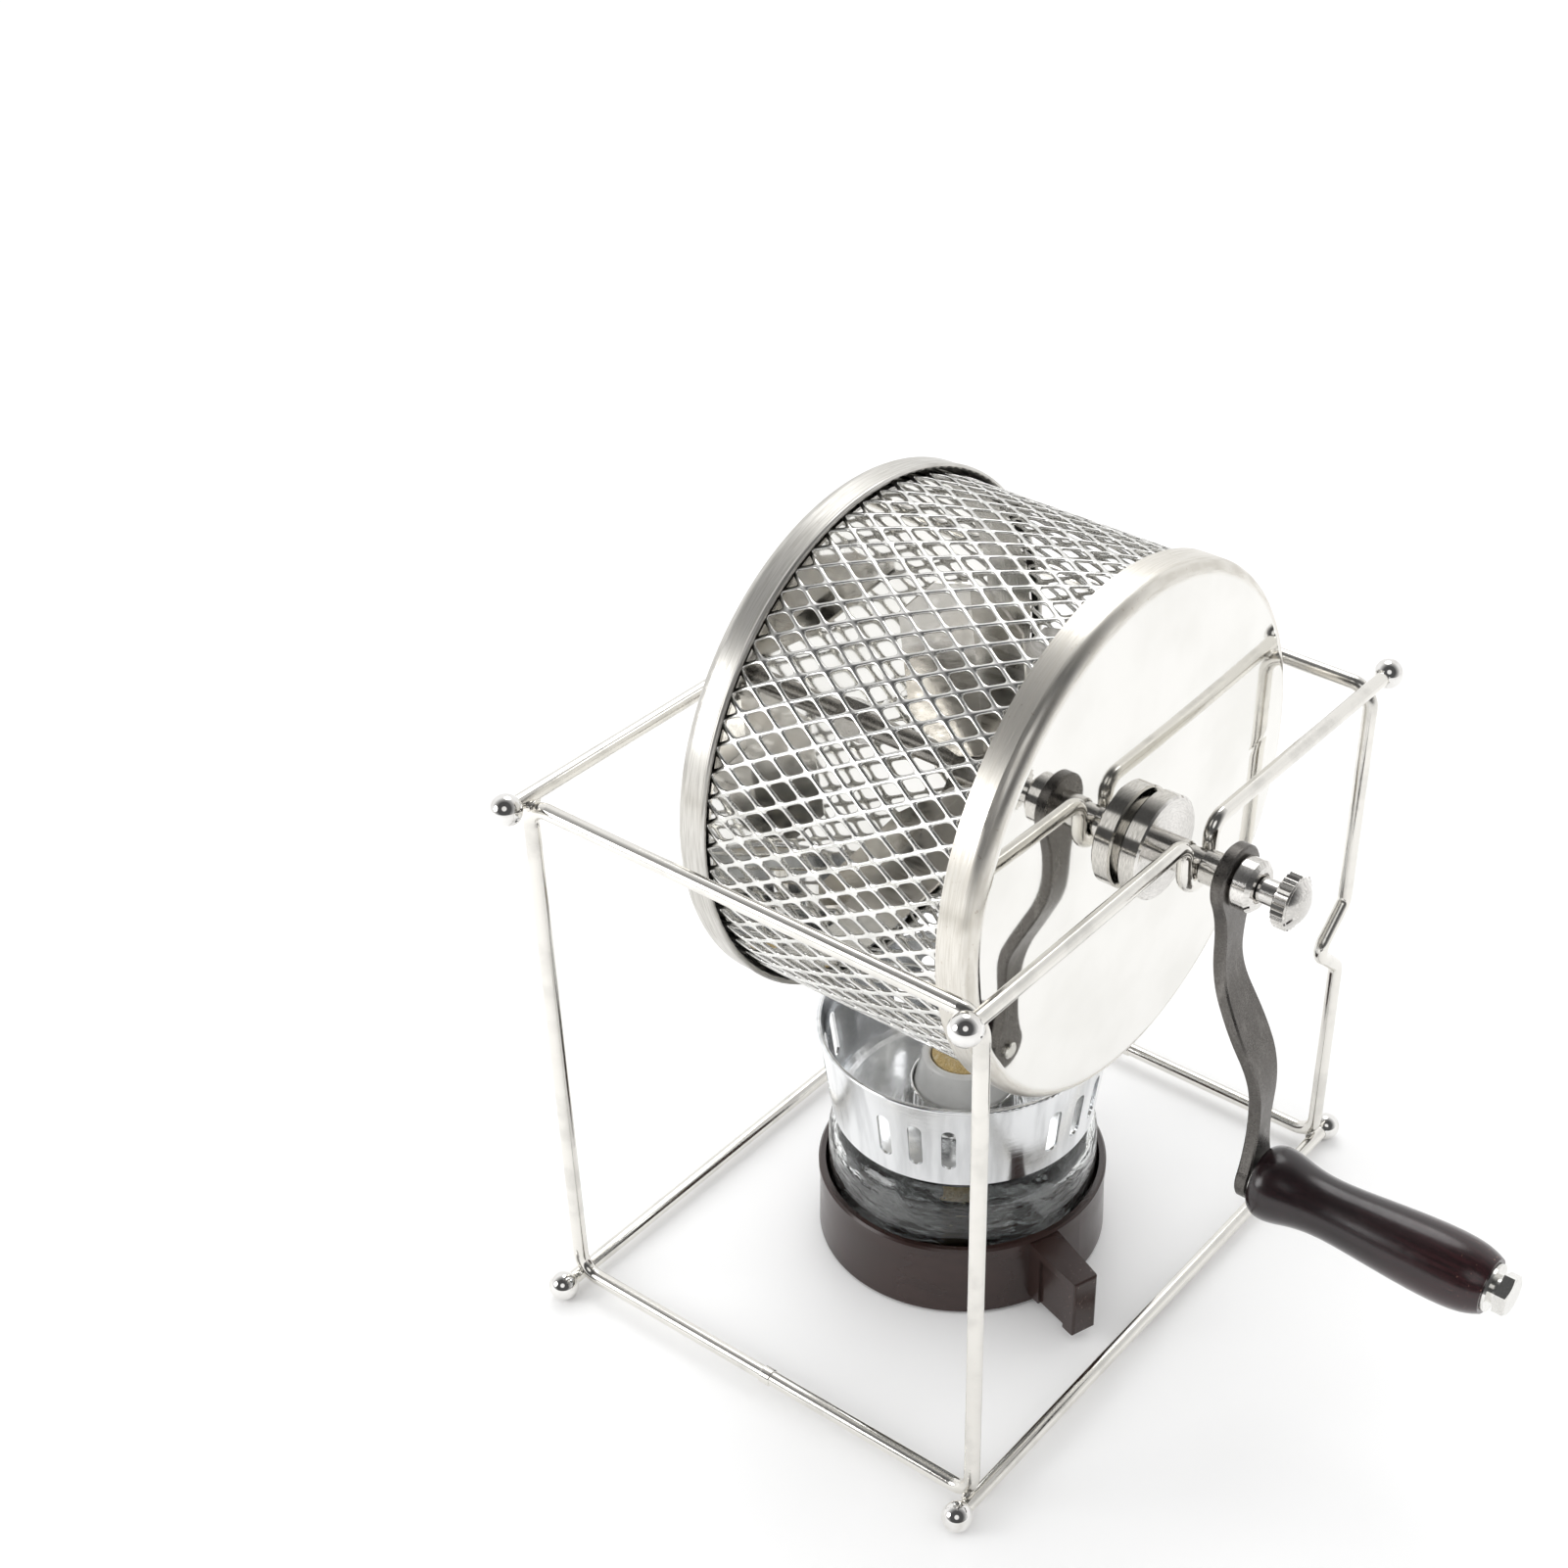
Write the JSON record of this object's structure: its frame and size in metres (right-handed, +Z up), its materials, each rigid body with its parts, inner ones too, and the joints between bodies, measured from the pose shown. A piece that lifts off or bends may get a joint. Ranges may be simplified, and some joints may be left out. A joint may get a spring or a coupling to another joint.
{
  "type": "coffee bean roaster",
  "caption": "Hand cranked wire mesh coffee bean roasting drum with stirring blades and a screwed lid, turning in a ball-footed wire stand over a spirit burner.",
  "frame": {"origin": "on the table, under the centre of the stand and of the burner", "axes": "+X along the drum's axle towards the crank, +Y across the drum towards the side loop with the kinks, +Z up"},
  "size_m": [0.2377, 0.1918, 0.2206],
  "materials": {
    "wire_steel": "bright drawn stainless wire",
    "ball_steel": "polished stainless balls",
    "drum_steel": "polished stainless sheet",
    "mesh_steel": "expanded stainless sheet",
    "blade_steel": "satin stainless sheet",
    "turned_steel": "turned and polished stainless",
    "dark_steel": "dark grey forged bar, satin",
    "grip_wood": "dark lacquered hardwood",
    "base_plastic": "dark brown moulded plastic",
    "bowl_glass": "clear pressed glass",
    "shield_aluminium": "bright spun aluminium",
    "porcelain": "white glazed porcelain",
    "cotton": "twisted cotton wick"
  },
  "bodies": {
    "stand": {"side_loop_plain": "wire_steel", "side_loop_kinked": "wire_steel", "top_bar_front": "wire_steel", "top_bar_back": "wire_steel", "bottom_bar_front": "wire_steel", "bottom_bar_back": "wire_steel", "top_ball_front_left": "ball_steel", "foot_ball_front_left": "ball_steel", "top_ball_front_right": "ball_steel", "foot_ball_front_right": "ball_steel", "top_ball_back_left": "ball_steel", "foot_ball_back_left": "ball_steel", "top_ball_back_right": "ball_steel", "foot_ball_back_right": "ball_steel"},
    "lid_and_crank": {"lid": "drum_steel", "lid_tube": "turned_steel", "lid_hub": "turned_steel", "crank_axle": "turned_steel", "crank_arm": "dark_steel", "crank_nut": "turned_steel", "grip_bolt": "turned_steel", "grip_washer_inner": "turned_steel", "grip_washer_outer": "turned_steel"},
    "drum": {"drum_end_cap": "drum_steel", "drum_mesh": "mesh_steel", "drum_back_hoop": "drum_steel", "drum_mouth_ring": "drum_steel", "drum_shaft": "turned_steel", "drum_shaft_nut": "turned_steel", "drum_back_axle": "turned_steel", "blade_hub": "turned_steel", "blade_1": "blade_steel", "blade_2": "blade_steel", "blade_3": "blade_steel", "blade_4": "blade_steel"},
    "thumb_screw": {"thumb_screw": "turned_steel"},
    "grip": {"grip": "grip_wood"},
    "burner": {"burner_base": "base_plastic", "fuel_bowl": "bowl_glass", "wick_ring": "turned_steel"},
    "windshield": {"windshield": "shield_aluminium"},
    "wick_holder": {"wick_holder": "porcelain"},
    "wick": {"wick": "cotton"}
  },
  "joints": [
    {"name": "crank_turn", "type": "hinge", "parent": "stand", "child": "lid_and_crank", "pos_m": [0.0667, 0, 0.1514], "axis": [1, 0, 0], "continuous": true},
    {"name": "drum_draw", "type": "slide", "parent": "lid_and_crank", "child": "drum", "axis": [-1, 0, 0], "range_m": [0, 0.024]},
    {"name": "screw_turn", "type": "hinge", "parent": "lid_and_crank", "child": "thumb_screw", "pos_m": [0.0838, 0, 0.1514], "axis": [1, 0, 0], "continuous": true},
    {"name": "grip_spin", "type": "hinge", "parent": "lid_and_crank", "child": "grip", "pos_m": [0.125, 0, 0.0656], "axis": [1, 0, 0], "continuous": true},
    {"name": "burner_slide", "type": "slide", "parent": "stand", "child": "burner", "axis": [0, 1, 0], "range_m": [-0.038, 0.038]},
    {"name": "windshield_lift", "type": "slide", "parent": "burner", "child": "windshield", "axis": [0, 0, 1], "range_m": [0, 0.008]},
    {"name": "wick_holder_lift", "type": "slide", "parent": "burner", "child": "wick_holder", "axis": [0, 0, 1], "range_m": [0, 0.018]},
    {"name": "wick_adjust", "type": "slide", "parent": "wick_holder", "child": "wick", "axis": [0, 0, 1], "range_m": [-0.002, 0.003]}
  ]
}
